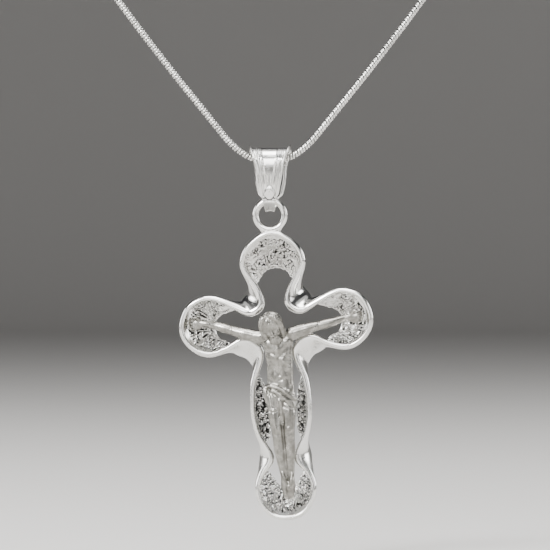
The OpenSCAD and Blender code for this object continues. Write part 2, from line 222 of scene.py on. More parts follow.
# Clasp: a plain barrel turned from silver rod, out of sight on the nape. The ends of the
# chain are glued into its sockets.
clasp_colour = "#EFEEEA"
clasp_haze = "#D6D5D1"
clasp_silver = polished_silver("turned_sterling_silver", clasp_colour, clasp_haze,
                               roughness=0.14, swirl_mm=4, dent_mm=1.5)
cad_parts["clasp"].data.materials.clear()
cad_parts["clasp"].data.materials.append(clasp_silver)

# Cross: one cast band of silver, twisted so that it flares into dishes at its ends. Its
# faces that show inside are rough like bark, their pits painted black, partly as tarnish and
# partly as shade, and the rims and waists polished.
bail_drop = 5.95  # from the chain down to the wire of the ring
ring_r = 2.17
wire_r = 0.46
half_span = 14.5
cross_height = 43.3
cross_top = 2.4  # from the middle of the ring down to the band
cross_back = 1.27  # how far the middle of the band lies behind the ring
cross_turn = -5  # degrees about the upright
cross_tilt = -3.4  # degrees sideways
half_depth = 2.25
band_wall = 0.9
band_bow = 0.35  # how far a face of the band arches between its edges
back_thin = 0.75  # the back edge as a share of the front one
waist_swell = 0.4  # how much more the polished waists arch outwards
pit_depth = 0.2
# How far apart the worms, ridges, lumps and smoother patches of the rough casting lie
worm_mm = 0.44
ridge_mm = 0.46
lump_mm = 0.62
patch_mm = 1.2
cast_colour = "#F6F5F2"
cast_haze = "#E6E5E1"
# Right half of its two edges, [front across, front down, back across, back down], as
# shares of half the span and of the height, how rough the inner face is there, and how
# coarse: 0 is wormed, 0.5 ridged and 1 lumpy
band_rows = [
    (0, 0, 0, 0.125, 1, 0), (0.105, 0.008, 0.066, 0.128, 1, 0), (0.272, 0.054, 0.131, 0.143, 1, 0),
    (0.325, 0.109, 0.172, 0.162, 1, 0), (0.248, 0.157, 0.2, 0.176, 0.7, 0),
    (0.176, 0.191, 0.228, 0.184, 0.1, 0), (0.11, 0.242, 0.276, 0.196, 0, 0),
    (0.145, 0.273, 0.324, 0.219, 0, 0), (0.262, 0.289, 0.366, 0.236, 0, 0.3),
    (0.4, 0.261, 0.414, 0.256, 0.3, 0.3), (0.593, 0.224, 0.503, 0.268, 1, 0.1),
    (0.717, 0.215, 0.572, 0.275, 1, 0.3), (0.903, 0.24, 0.641, 0.291, 1, 0.5),
    (1, 0.31, 0.669, 0.319, 1, 0.5), (0.972, 0.36, 0.648, 0.349, 1, 0.5),
    (0.855, 0.402, 0.614, 0.365, 1, 0.5), (0.724, 0.418, 0.566, 0.372, 1, 0.5),
    (0.607, 0.409, 0.531, 0.376, 1, 0.8), (0.497, 0.393, 0.497, 0.39, 0.6, 1),
    (0.414, 0.372, 0.476, 0.409, 0, 1), (0.338, 0.363, 0.421, 0.42, 0, 1),
    (0.234, 0.374, 0.345, 0.432, 0, 1), (0.155, 0.409, 0.29, 0.453, 0.1, 1),
    (0.172, 0.443, 0.262, 0.473, 0.8, 1), (0.221, 0.48, 0.248, 0.494, 1, 1),
    (0.272, 0.52, 0.207, 0.52, 1, 1), (0.3, 0.603, 0.141, 0.598, 1, 1),
    (0.283, 0.667, 0.138, 0.665, 1, 1), (0.234, 0.716, 0.166, 0.716, 1, 1),
    (0.166, 0.746, 0.207, 0.739, 0.3, 1), (0.11, 0.781, 0.241, 0.769, 0, 0.5),
    (0.131, 0.804, 0.245, 0.792, 0, 0.5), (0.214, 0.831, 0.228, 0.82, 0.5, 0.5),
    (0.283, 0.866, 0.179, 0.843, 1, 0.5), (0.303, 0.903, 0.138, 0.864, 1, 0.5),
    (0.269, 0.942, 0.093, 0.882, 1, 0.4), (0.166, 0.986, 0.05, 0.89, 1, 0.4),
    (0, 1, 0, 0.891, 1, 0.4)]
face_grain = 0.12
face_steps = 36
outer_steps = 12
edge_softening = 60
course_steps = 8
to_cross = (Matrix.Translation(hang + Vector((0, 0, -bail_drop - ring_r)))
            @ Matrix.Rotation(math.radians(cross_turn), 4, "Z")
            @ Matrix.Rotation(math.radians(cross_tilt), 4, "Y"))


def smooth_step(low, high, value):
    """Rises from 0 at low to 1 at high, gently at both ends, or falls where low is higher."""
    share = min(max((value - low) / (high - low), 0), 1)
    return share * share * (3 - 2 * share)


def closed_curve(points, grain, soften):
    """Even steps of about one grain along a smooth closed curve through the points."""
    count = len(points)
    apart = [(points[(i + 1) % count] - points[i]).length for i in range(count)]
    slopes = [(points[(i + 1) % count] - points[i - 1]) / (apart[i - 1] + apart[i])
              for i in range(count)]
    steps = []
    for i in range(count):
        here, there = points[i], points[(i + 1) % count]
        parts = max(1, round(apart[i] / grain))
        for k in range(parts):
            gone = k / parts
            left = 1 - gone
            bend = left * slopes[i] - gone * slopes[(i + 1) % count]
            steps.append(left * left * (1 + 2 * gone) * here + gone * gone * (3 - 2 * gone) * there
                         + apart[i] * gone * left * bend)
    for _ in range(soften):
        steps = [(steps[i - 1] + 2 * steps[i] + steps[(i + 1) % len(steps)]) / 4
                 for i in range(len(steps))]
    return steps


def draw_loop(shape, sections, blackness=None):
    """A closed loop of edges is drawn out row by row over its sections and closed again.
    Blackness, if given, says for each point how dark its colour is painted, as tarnish and as shade."""
    number = shape.verts.layers.int.get("number") or shape.verts.layers.int.new("number")
    black = shape.verts.layers.float.get("black") or shape.verts.layers.float.new("black")
    loop = bmesh.ops.create_circle(shape, segments=len(sections), radius=1)["verts"]
    for i, vert in enumerate(loop):
        vert[number] = i
    edges = list({edge for vert in loop for edge in vert.link_edges})
    drawn = loop
    all_verts = []
    for row in list(range(len(sections[0]))) + [0]:
        if all_verts:
            drawn = bmesh.ops.extrude_edge_only(shape, edges=edges)["geom"]
            edges = [part for part in drawn if isinstance(part, bmesh.types.BMEdge)]
        verts = [part for part in drawn if isinstance(part, bmesh.types.BMVert)]
        for vert in verts:
            vert.co = sections[vert[number]][row]
            vert[black] = blackness[vert[number]][row] if blackness else 0
        all_verts += verts
    bmesh.ops.remove_doubles(shape, verts=all_verts, dist=1e-5)


def finished_mesh(name, shape, place, passes, deep):
    """The shape as a mesh in metres, at its place, with smooth faces that point outwards. Its
    attribute tarnish_and_shade, painted dark as tarnish and as shade, is 1 where a point lies deep mm
    or more under the skin around it, which is the mesh smoothed in that many passes, plus its
    blackness."""
    bmesh.ops.recalc_face_normals(shape, faces=shape.faces)
    bmesh.ops.transform(shape, matrix=Matrix.Scale(mm, 4) @ place, verts=shape.verts)
    for face in shape.faces:
        face.smooth = True
    mesh_data = bpy.data.meshes.new(name)
    shape.to_mesh(mesh_data)
    shape.free()
    count = len(mesh_data.vertices)
    places, normals = np.empty(count * 3), np.empty(count * 3)
    ends = np.empty(len(mesh_data.edges) * 2, dtype=int)
    mesh_data.vertices.foreach_get("co", places)
    mesh_data.vertices.foreach_get("normal", normals)
    mesh_data.edges.foreach_get("vertices", ends)
    places, normals = places.reshape(-1, 3), normals.reshape(-1, 3)
    a, b = ends.reshape(-1, 2).T
    neighbours = np.bincount(a, minlength=count) + np.bincount(b, minlength=count)
    skin = places.copy()
    for _ in range(passes):
        sums = [np.bincount(a, skin[b, axis], count) + np.bincount(b, skin[a, axis], count)
                for axis in range(3)]
        around = np.array(sums).T / neighbours[:, None]
        skin = (skin + around) / 2
    depth = ((skin - places) * normals).sum(axis=1)
    black = np.zeros(count)
    if "black" in mesh_data.attributes:
        mesh_data.attributes["black"].data.foreach_get("value", black)
    # Painted shade and tarnish: darker in hollows and wherever blackness was painted
    tarnish_and_shade = mesh_data.attributes.new("tarnish_and_shade", "FLOAT", "POINT")
    tarnish_and_shade.data.foreach_set("value", np.clip(np.maximum(depth, 0) / (deep * mm) + black, 0, 1))
    return mesh_data


def wander(point):
    """A smooth drift in all three directions, the same at every run."""
    return Vector([noise.noise(point + Vector((31, 17, 5)) * k) for k in (1, 2, 3)])


def bark(point, along, far, rough, coarse):
    """Depth of the rough casting at a point of an inner face, 0 at its top and about 1 in a
    pit: worms, ridges or lumps, as the tool left them in the wax."""
    small = 0.5 + 0.5 * noise.noise(point / 0.33)
    patch = smooth_step(-0.4, 0.15, noise.noise(point / patch_mm + Vector((5, 0, 0))))
    worms = (1 - smooth_step(0.05, 0.22, abs(noise.noise(point / worm_mm)))) * patch
    ridged = Vector((along / ridge_mm, far / 1.5, 0)) + 1.1 * wander(point / 1.1)
    ridges = (1 - smooth_step(0.04, 0.34, abs(noise.noise(ridged)))) * (0.35 + 0.65 * patch)
    near = noise.voronoi((point + 0.45 * wander(point / 0.7)) / lump_mm)[0]
    lumps = 1 - smooth_step(0.08, 0.42, near[1] - near[0])
    kind = (max(0, 1 - 2 * coarse) * worms + (1 - abs(2 * coarse - 1)) * ridges
            + max(0, 2 * coarse - 1) * lumps * 1.3)
    return rough * (0.2 * small + (0.9 + coarse) * kind)


rows_right = [Vector((a * half_span, b * cross_height, c * half_span, d * cross_height,
                      rough, coarse)) for a, b, c, d, rough, coarse in band_rows]
rows_left = [Vector((-row[0], row[1], -row[2], *row[3:])) for row in reversed(rows_right[1:-1])]
edges_loop = closed_curve(rows_right + rows_left, face_grain, edge_softening)
front_r = band_wall / 2
back_r = front_r * back_thin
thinner = back_r - front_r
band_sections = []
band_black = []
for i, row in enumerate(edges_loop):
    step = edges_loop[(i + course_steps) % len(edges_loop)] - edges_loop[i - course_steps]
    along = Vector((step[0] + step[2], 0, -step[1] - step[3])).normalized()
    front = Vector((row[0], cross_back - half_depth, -cross_top - row[1]))
    back = Vector((row[2], cross_back + half_depth, -cross_top - row[3]))
    rough, coarse = row[4:]
    across = (back - front).normalized()
    out = along.cross(across).normalized()
    # Where it is rough, the back edge was left a little uneven
    back += across * 0.3 * rough * noise.noise(front / 0.9)
    length = (back - front).length
    face = length - front_r - back_r
    # The polished lip is widest on the sides of the arms and below the feet
    lip = (0.25 + 0.5 * smooth_step(0.78, 1, abs(row[0]) / half_span)
           + 0.3 * smooth_step(0.82, 0.9, row[1] / cross_height))
    swell = waist_swell * (1 - rough)
    # Once round the band: its front edge, inner face, back edge and outer face, as how far
    # from front to back, how far outwards, and whether it is the inner face
    profile = []
    for degrees in range(0, 181, 20):
        a = math.radians(degrees)
        profile.append((front_r * (1 - math.sin(a)), front_r * math.cos(a), False))
    for share in (k / face_steps for k in range(1, face_steps)):
        profile.append((front_r + share * face, -front_r - share * thinner, True))
    for degrees in range(180, -1, -30):
        a = math.radians(degrees)
        profile.append((length - back_r * (1 - math.sin(a)), back_r * math.cos(a), False))
    for share in (k / outer_steps for k in range(outer_steps - 1, 0, -1)):
        profile.append((front_r + share * face, front_r + share * thinner, False))
    section = []
    shades = []
    for far, side, inside in profile:
        shade = 0
        arch = 4 * far / length * (1 - far / length)
        point = front + far * across + (side + arch * (band_bow + swell * (side > 0))) * out
        if inside and rough > 0:
            start = front_r + (lip + 0.3 * noise.noise(point / 0.8))
            relief = smooth_step(start, start + 0.5, far) * smooth_step(length, length - 0.6, far)
            pit = relief * bark(point, i * face_grain, far, rough, coarse)
            point += out * pit_depth * pit
            # Pits are painted dark, partly as tarnish and partly as shade
            shade = smooth_step(0.55, 1.1, pit / (0.9 + coarse))
            shade *= 0.55 + 0.45 * abs(2 * coarse - 1)
        section.append(point)
        shades.append(shade)
    band_sections.append(section)
    band_black.append(shades)
cross_shape = bmesh.new()
draw_loop(cross_shape, band_sections, band_black)

# Ring: silver wire soldered on top of the band, where the solder fills its foot
ring_steps = 120
wire_sides = 20
ring_sections = []
for i in range(ring_steps):
    a = 2 * math.pi * i / ring_steps
    outwards = Vector((math.sin(a), 0, -math.cos(a)))
    foot = smooth_step(0.72, 1, math.cos(a))
    section = []
    for k in range(wire_sides):
        b = 2 * math.pi * k / wire_sides
        far, side = wire_r * math.cos(b), wire_r * math.sin(b)
        if far > 0:
            far *= 1 + 0.9 * foot
        section.append((ring_r + far) * outwards + Vector((0, side * (1 + 0.15 * foot), 0)))
    ring_sections.append(section)
draw_loop(cross_shape, ring_sections)
cross_silver = polished_silver("antiqued_cast_silver", cast_colour, cast_haze,
                               roughness=0.2, swirl_mm=3, dent_mm=1.2)
cross_mesh = finished_mesh("cross_band", cross_shape, to_cross, passes=10, deep=0.09)
cross_band = add_piece("cross_band", cross_mesh, "crucifix", cross_silver)
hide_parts("cross_frame")

# Bail: a tapered strip of silver, bent round the chain and the ring and soldered behind.
# Its die gave it rolled edges and raised lines that run together downwards.
bail_top_r = 1.405
bail_bottom_r = 1.015
strip = 0.55
bail_turn = -3.5  # degrees about the upright
bail_edge = 0.1
bail_grain = 0.1
front_steps = 80
inner_steps = 16
bail_colour = "#F6F5F2"
bail_haze = "#E6E5E1"
# Height on the front and half width there; the strap behind is a little wider
bail_half_widths = [(2.6, 3.15), (1.19, 2.65), (0, 2.2), (-3, 1.7), (-4.9, 1.32), (-5.5, 1.02),
                    (-6.4, 0.92), (-7.4, 0.62)]
bail_back_extra = 0.5
# Each raised line from its upper to its lower end: height and distance from the middle
ridge_lines = [((1.4, 1.35), (-3.5, 0.35)), ((1.5, 1.75), (-5.3, 0.72)),
               ((1.5, 2.1), (-5.3, 0.98))]


def between(points, value):
    """The value of a broken line, from its highest place down."""
    for (high, a), (low, b) in zip(points, points[1:]):
        if value >= low:
            return a + (b - a) * min(max((high - value) / (high - low), 0), 1)
    return points[-1][1]


# The inside of the strip, seen from the side: round the chain, down, round the ring and up
taper = int(math.degrees(math.asin((bail_top_r - bail_bottom_r) / bail_drop)))
path = []
for radius, low, turns in ((bail_top_r, 0, range(-90 - taper, 91 + taper, 5)),
                           (bail_bottom_r, -bail_drop, range(90 + taper, 271 - taper, 5))):
    for degrees in turns:
        a = math.radians(degrees)
        out = Vector((0, math.sin(a), math.cos(a)))
        path.append((Vector((0, 0, low)) + radius * out, out))
stations = []
for i, (point, out) in enumerate(path):
    point_next, out_next = path[(i + 1) % len(path)]
    parts = max(1, round((point_next - point).length / bail_grain))
    for k in range(parts):
        stations.append((point.lerp(point_next, k / parts),
                         out.lerp(out_next, k / parts).normalized()))
bail_sections = []
bail_black = []
for point, out in stations:
    back = (point.y + bail_top_r + strip) / (2 * (bail_top_r + strip))
    above_ring = smooth_step(-5.8, -5, point.z)
    half = between(bail_half_widths, point.z + out.z * strip)
    half += bail_back_extra * back * (0.35 + 0.65 * above_ring)
    half += 0.3 * above_ring * smooth_step(0.7, 1.4, point.y) * smooth_step(-0.5, -4, point.z)
    top = smooth_step(-7, 1, point.z)
    front = smooth_step(0.2, -0.6, point.y)
    # The front bows out a little, most of all half way down
    from_crest = point.z + 2.4
    bow = front * max(0, 1 - (from_crest / (2.9 if from_crest > 0 else 3.1)) ** 2)
    lines = [between(ridge, point.z) for ridge in ridge_lines]
    section = []
    shades = []
    for k in range(front_steps + 1):
        across = (2 * k / front_steps - 1) * (half - bail_edge)
        from_edge = half - bail_edge - abs(across)
        height = strip + 0.36 * bow + (0.1 + 0.4 * top) * (1 - smooth_step(0, 0.35, from_edge))
        for line, (_, (low, _)) in zip(lines, ridge_lines):
            height += 0.12 * front * smooth_step(low - 0.2, low, point.z) * math.exp(
                -((abs(across) - line) / 0.1) ** 2)
        height -= 0.07 * front * (1 - smooth_step(0.8, 1.05, abs(across) / lines[0]))
        # Raised tongue with a dot, and two fine lines across below it
        from_tongue = math.hypot(across / 0.82, (point.z + 4.65) / 1.15)
        steep = 0.84 - 0.5 * smooth_step(-4.9, -4.1, point.z)
        height += 0.2 * front * (1 - smooth_step(steep, 1, from_tongue))
        height -= 0.07 * front * math.exp(-((across / 0.09) ** 2 + ((point.z + 4.55) / 0.09) ** 2))
        for low in (-5.85, -5.55):
            height -= 0.06 * front * math.exp(-((point.z - low) / 0.06) ** 2)
        section.append(Vector((across, 0, 0)) + point + height * out)
        # Painted shade in streaks above the tongue and round it; darker where the strip wraps the
        # ring
        shade_streak = (math.exp(-(across / 0.15) ** 2)
                  + math.exp(-((abs(across) - (lines[0] + lines[1]) / 2) / 0.11) ** 2))
        shade_streak *= smooth_step(-1.5, -2.3, point.z) * smooth_step(-4, -3.1, point.z)
        shade_outline = math.exp(-((from_tongue - 1.02) / 0.1) ** 2) * smooth_step(-4.1, -4.8, point.z)
        wrap = smooth_step(-5.95, -6.3, point.z)
        shades.append(front * (0.6 * shade_streak + 0.45 * shade_outline + 0.5 * wrap))
    rim_height = strip + 0.1 + 0.4 * top
    for share in (0.85, 0.55, 0.25):
        section.append(Vector((half, 0, 0)) + point + rim_height * share * out)
    for k in range(inner_steps + 1):
        section.append(Vector(((1 - 2 * k / inner_steps) * (half - bail_edge), 0, 0)) + point)
    for share in (0.25, 0.55, 0.85):
        section.append(Vector((-half, 0, 0)) + point + rim_height * share * out)
    bail_sections.append(section)
    # The sides stay bright, and the inside between the straps is painted black as shade
    unshaded_side = [0] * 5
    painted_shade_inside = [1] * (len(section) - len(shades) - 2 * len(unshaded_side))
    bail_black.append(shades + unshaded_side + painted_shade_inside + unshaded_side)
bail_place = Matrix.Translation(hang) @ Matrix.Rotation(math.radians(bail_turn), 4, "Z")
bail_shape = bmesh.new()
draw_loop(bail_shape, bail_sections, bail_black)
bail_silver = polished_silver("stamped_sterling_silver", bail_colour, bail_haze,
                              roughness=0.22, swirl_mm=3, dent_mm=1.2)
bail_mesh = finished_mesh("stamped_bail", bail_shape, bail_place, passes=8, deep=0.045)
bail = add_piece("stamped_bail", bail_mesh, "bail", bail_silver)
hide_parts("bail")

# Figure: cast in silver by lost wax, brushed to a satin and set on the cross. It keeps
# the soft edges of the wax: slim arms, a wrapped loincloth and feet one above the other.
body_grain = 0.075
trunk_steps = 4
trunk_lump = 0.75
satin_colour = "#A6A49E"
satin_dark = "#84827C"
# Colour painted in hollows and creases, partly as patina and partly as shade
satin_patina_and_shade = "#3A3935"
mottle_mm = 0.8
grit_mm = 0.12
# Each arm from the shoulder to the wrist: across, towards the back, up and radius
left_arm = [(-2.3, -1.95, -18.2, 1.03), (-3.3, -1.9, -18, 0.94), (-4.7, -1.82, -17.55, 0.87),
            (-5.7, -1.68, -17.25, 0.78), (-6.85, -1.49, -16.85, 0.67), (-7.7, -1.3, -16.55, 0.74),
            (-8.9, -1.05, -16.15, 0.67), (-10.5, -0.5, -15.75, 0.49), (-11.3, -0.35, -15.6, 0.47)]
right_arm = [(2.45, -1.95, -17.9, 1.03), (3.3, -1.9, -17.65, 0.94), (4.4, -1.82, -17.38, 0.87),
             (5.4, -1.68, -17.15, 0.78), (6.5, -1.49, -16.95, 0.67), (7.4, -1.3, -16.8, 0.74),
             (8.6, -1.05, -16.55, 0.67), (10.15, -0.5, -16.1, 0.49), (11, -0.35, -15.95, 0.47)]
# Each finger from the palm to its tip, the thumb last
left_fingers = [
    [(-12.3, -0.4, -15.15, 0.25), (-12.85, -0.66, -14.95, 0.22), (-13.1, -1, -15.05, 0.19)],
    [(-12.35, -0.4, -15.55, 0.26), (-12.95, -0.7, -15.5, 0.23), (-13.2, -1.05, -15.5, 0.2)],
    [(-12.35, -0.4, -15.95, 0.26), (-12.9, -0.7, -16, 0.23), (-13.1, -1.05, -15.9, 0.2)],
    [(-12.25, -0.4, -16.35, 0.24), (-12.65, -0.65, -16.5, 0.21), (-12.85, -0.95, -16.4, 0.18)],
    [(-11.5, -0.5, -15.1, 0.28), (-11.9, -0.8, -14.75, 0.24), (-12.3, -0.95, -14.75, 0.2)]]
right_fingers = [
    [(12.2, -0.4, -15.5, 0.25), (12.75, -0.66, -15.25, 0.22), (13.05, -1, -15.3, 0.19)],
    [(12.3, -0.4, -15.85, 0.26), (12.85, -0.7, -15.7, 0.23), (13.15, -1.05, -15.7, 0.2)],
    [(12.3, -0.4, -16.2, 0.26), (12.85, -0.7, -16.15, 0.23), (13.1, -1.05, -16.1, 0.2)],
    [(12.2, -0.4, -16.55, 0.24), (12.65, -0.65, -16.6, 0.21), (12.9, -0.95, -16.5, 0.18)],
    [(11.3, -0.5, -15.5, 0.28), (11.7, -0.8, -15.1, 0.24), (12.1, -0.95, -15.05, 0.2)]]
# Trunk from the neck down: place, half width and half depth
trunk = [(-0.15, -2.2, -17.1, 0.85, 0.75), (0, -2, -17.7, 1.5, 0.8), (0.1, -1.95, -18.3, 2.35, 0.95),
         (0.15, -2, -19.2, 2.35, 1.2), (0.22, -2.02, -20.1, 2.15, 1.3), (0.28, -2, -21.2, 2.05, 1.25),
         (0.32, -1.98, -22.4, 1.98, 1.16), (0.34, -1.95, -23.6, 1.94, 1.02),
         (0.3, -1.95, -24.8, 1.96, 0.98), (0.24, -2, -26, 2.08, 1.05), (0.2, -2.1, -27.3, 2.15, 1.1)]
# Each leg from the hip to the ankle, each foot from there to its toes
left_leg = [(-0.8, -2.2, -27, 1.12), (-0.84, -2.32, -28.6, 1.12), (-0.78, -2.5, -30.3, 1.02),
            (-0.62, -2.65, -32, 0.88), (-0.55, -2.35, -33.4, 0.84), (-0.42, -2.15, -35.2, 0.88),
            (-0.2, -1.9, -37.3, 0.7), (0.05, -1.65, -39.3, 0.54)]
right_leg = [(1.22, -2.2, -27, 1.12), (1.28, -2.32, -28.6, 1.12), (1.24, -2.5, -30.3, 1.02),
             (1.15, -2.65, -32, 0.88), (1.12, -2.35, -33.4, 0.84), (1.06, -2.15, -35.2, 0.88),
             (1, -1.9, -37.3, 0.7), (0.94, -1.75, -39.3, 0.54)]
left_foot = [(0.05, -1.65, -39.3, 0.56), (0.02, -1.25, -40.3, 0.66), (0.1, -0.8, -41.3, 0.7),
             (0.14, -0.45, -42.2, 0.55)]
right_foot = [(0.94, -1.75, -39.3, 0.56), (0.9, -1.85, -40.1, 0.68), (0.78, -1.4, -41.2, 0.7),
              (0.74, -0.95, -42.2, 0.58)]


def blob(shape, place, sizes, turn=(0, 0, 0)):
    """An egg of wax, its half sizes and its turn in degrees."""
    turned = Matrix.Identity(4)
    for angle, axis in zip(turn, "XYZ"):
        turned = Matrix.Rotation(math.radians(angle), 4, axis) @ turned
    bmesh.ops.create_icosphere(shape, subdivisions=3, radius=1, matrix=Matrix.Translation(place)
                               @ turned @ Matrix.Diagonal((*sizes, 1)))


def limb(shape, row):
    """A tapered roll of wax through a row of places, each with its radius."""
    for (*a, ra), (*b, rb) in zip(row, row[1:]):
        a, b = Vector(a), Vector(b)
        turn = (b - a).to_track_quat("Z", "Y").to_matrix().to_4x4()
        bmesh.ops.create_cone(shape, cap_ends=True, segments=24, radius1=ra, radius2=rb,
                              depth=(b - a).length, matrix=Matrix.Translation((a + b) / 2) @ turn)
    for *a, ra in row:
        bmesh.ops.create_icosphere(shape, subdivisions=3, radius=ra, matrix=Matrix.Translation(a))


def stack(shape, rows):
    """A trunk of flat eggs, one close above the other, from a row of places with half sizes."""
    for a, b in zip(rows, rows[1:]):
        for k in range(trunk_steps):
            x, y, z, wide, deep = (u + (v - u) * k / trunk_steps for u, v in zip(a, b))
            blob(shape, (x, y, z), (wide, deep, trunk_lump))


def melted(shape, grain, softening):
    """One skin round all the lumps of wax, softened a little."""
    mesh_data = bpy.data.meshes.new("wax")
    shape.to_mesh(mesh_data)
    shape.free()
    lumps = bpy.data.objects.new("wax", mesh_data)
    bpy.context.scene.collection.objects.link(lumps)
    skin = lumps.modifiers.new("skin", "REMESH")
    skin.mode = "VOXEL"
    skin.voxel_size = grain
    soft = lumps.modifiers.new("soft", "SMOOTH")
    soft.factor = 0.5
    soft.iterations = softening
    depsgraph = bpy.context.evaluated_depsgraph_get()
    melted_mesh = bpy.data.meshes.new_from_object(lumps.evaluated_get(depsgraph))
    bpy.data.objects.remove(lumps)
    result = bmesh.new()
    result.from_mesh(melted_mesh)
    return result


def chisel(shape, strokes):
    """Strokes over the front of the wax. Each goes through places across and up, has a width
    and a depth, and cuts a groove or, with a depth below 0, leaves a ridge."""
    shape.normal_update()
    shape.verts.ensure_lookup_table()
    tree = KDTree(len(shape.verts))
    for i, vert in enumerate(shape.verts):
        if vert.normal.y < 0:
            tree.insert((vert.co.x, 0, vert.co.z), i)
    tree.balance()
    moves = {}
    for places, width, depth in strokes:
        nearest = {}
        for (x1, z1), (x2, z2) in zip(places, places[1:]):
            a, b = Vector((x1, 0, z1)), Vector((x2, 0, z2))
            steps = max(1, int((b - a).length / (width * 0.4)))
            for k in range(steps + 1):
                for _, i, far in tree.find_range(a.lerp(b, k / steps), width * 2.2):
                    nearest[i] = min(far, nearest.get(i, far))
        for i, far in nearest.items():
            moves[i] = moves.get(i, 0) - depth * math.exp(-(far / width) ** 2)
    for i, move in moves.items():
        vert = shape.verts[i]
        vert.co += vert.normal * move


# Arms, each with a palm and five fingers
wax = bmesh.new()
limb(wax, left_arm)
limb(wax, right_arm)
for palm, fingers in (((-11.85, -0.35, -15.72), left_fingers),
                      ((11.7, -0.35, -16.05), right_fingers)):
    blob(wax, palm, (0.95, 0.42, 0.85))
    for finger in fingers:
        limb(wax, finger)
# Trunk with its shoulders and breast
stack(wax, trunk)
blob(wax, (-1.9, -1.95, -18.25), (0.95, 0.85, 0.8), (0, 12, 0))
blob(wax, (2.05, -1.95, -18.05), (0.95, 0.85, 0.8), (0, -12, 0))
blob(wax, (-0.75, -2.3, -19.3), (1.3, 0.86, 1.05), (0, 10, 0))
blob(wax, (1.25, -2.3, -19.2), (1.3, 0.86, 1.05), (0, -10, 0))
# Legs and knees
limb(wax, left_leg)
limb(wax, right_leg)
blob(wax, (-0.66, -3.12, -32), (0.52, 0.5, 0.62))
blob(wax, (1.18, -3.12, -32), (0.52, 0.5, 0.62))
# A web between the shins, and the tendons of the feet, which meet in a V
limb(wax, [(0.28, -2.05, -31.8, 0.55), (0.3, -1.85, -35, 0.5), (0.5, -1.6, -38.5, 0.35)])
limb(wax, left_foot)
limb(wax, right_foot)
limb(wax, [(-0.25, -2.3, -38.5, 0.18), (0.15, -2.5, -39.8, 0.2), (0.62, -2.5, -41, 0.18)])
limb(wax, [(1.25, -2.3, -38.7, 0.18), (1.02, -2.55, -39.8, 0.2), (0.68, -2.5, -41, 0.18)])
# Loincloth: a wrap round the hips, two rolled folds across it, a knot at the hip and an
# end that hangs between the thighs
blob(wax, (0.2, -2.12, -27.2), (2.28, 1.35, 1.75))
limb(wax, [(-1.95, -2, -25.6, 0.3), (-1.2, -2.95, -25.5, 0.3), (-0.2, -3.2, -25.8, 0.34),
           (0.9, -3.25, -26.5, 0.36), (1.8, -2.95, -27.3, 0.34), (2.3, -2.2, -27.8, 0.32)])
limb(wax, [(-0.9, -3.15, -26.2, 0.32), (0.3, -3.3, -27, 0.34), (1.3, -3.15, -27.9, 0.34),
           (2.15, -2.5, -28.7, 0.32)])
limb(wax, [(-1.95, -2.3, -25.9, 0.46), (-2, -2.5, -26.6, 0.4), (-1.85, -2.6, -27.9, 0.32)])
limb(wax, [(0.1, -3.05, -27.6, 0.56), (0.2, -3.05, -29, 0.52), (0.24, -2.95, -30.4, 0.42),
           (0.26, -2.8, -31.5, 0.26)])
body = melted(wax, body_grain, 9)
# Breast bone, hollows under the breast, arch of the ribs, belly, flanks and navel
body_strokes = [
    ([(0.12, -18.9), (0.1, -20.4)], 0.32, -0.12),
    ([(-1.75, -19.8), (-1.2, -20.5), (-0.5, -20.7)], 0.36, 0.16),
    ([(2, -19.6), (1.25, -20.3), (0.5, -21.2)], 0.38, 0.16),
    ([(0, -21.2), (-0.6, -21.9), (-1.5, -22.8)], 0.26, -0.05),
    ([(0.5, -21.5), (1.2, -22.1), (2, -22.9)], 0.26, -0.05),
    ([(-0.9, -22.2), (-0.5, -23.2)], 0.5, 0.14), ([(1.1, -22.6), (1.2, -23.4)], 0.4, 0.1),
    ([(0.25, -21.4), (0.3, -24)], 0.2, 0.1),
    ([(-1.45, -23.2), (-1.5, -25)], 0.2, -0.12), ([(-0.5, -23.3), (-0.5, -24.6)], 0.24, -0.1),
    ([(0.75, -23), (0.7, -24.2)], 0.22, -0.1), ([(1.8, -23.1), (1.85, -25.4)], 0.2, -0.12),
    ([(0.4, -24.6), (0.4, -24.66)], 0.17, 0.2)]
# Four ribs and a collar bone on each side
for side in (-1, 1):
    for k in range(4):
        low = -20.7 - 0.56 * k
        body_strokes.append(([(0.3 + side * (1.05 + 0.1 * k), low), (0.3 + side * 1.5, low - 0.03),
                              (0.3 + side * 2.1, low + 0.25)], 0.14, 0.06))
    body_strokes.append(([(0.1 + side * 0.5, -17.95), (0.1 + side * 2.1, -17.75)], 0.25, -0.1))
# Folds of the loincloth, then the legs down to the toes, and the elbows
for fold in (
        [(-1.9, -25.9), (-0.4, -26.1), (0.8, -26.95), (2.2, -27.95)],
        [(-1.75, -26.3), (-1.35, -27.2), (-1.15, -28.9)],
        [(-1.3, -26.3), (-0.85, -27.3), (-0.6, -28.9)],
        [(-0.7, -26.75), (0.05, -27.5), (1.1, -28.3), (2.2, -29.1)],
        [(-0.35, -27.3), (-0.1, -28.4), (-0.12, -30.2)], [(0.2, -28.1), (0.16, -29.6), (0.2, -31)],
        [(0.55, -28.3), (0.5, -29.6), (0.44, -31)],
        [(-1.9, -25.25), (0.2, -25.6), (1.3, -26.4), (2.3, -27.2)],
        [(2.2, -29.4), (1.3, -29), (0.8, -28.8)], [(-1.9, -29.2), (-1, -29.5), (-0.4, -29.3)]):
    body_strokes.append((fold, 0.1, 0.13))
body_strokes += [
    ([(0.2, -31.6), (0.25, -37.5)], 0.07, 0.04), ([(0.42, -31.9), (0.5, -38)], 0.07, 0.04),
    ([(-1.05, -29.3), (-0.75, -31.5)], 0.28, -0.12), ([(0.72, -29), (0.86, -31.4)], 0.2, -0.12)]
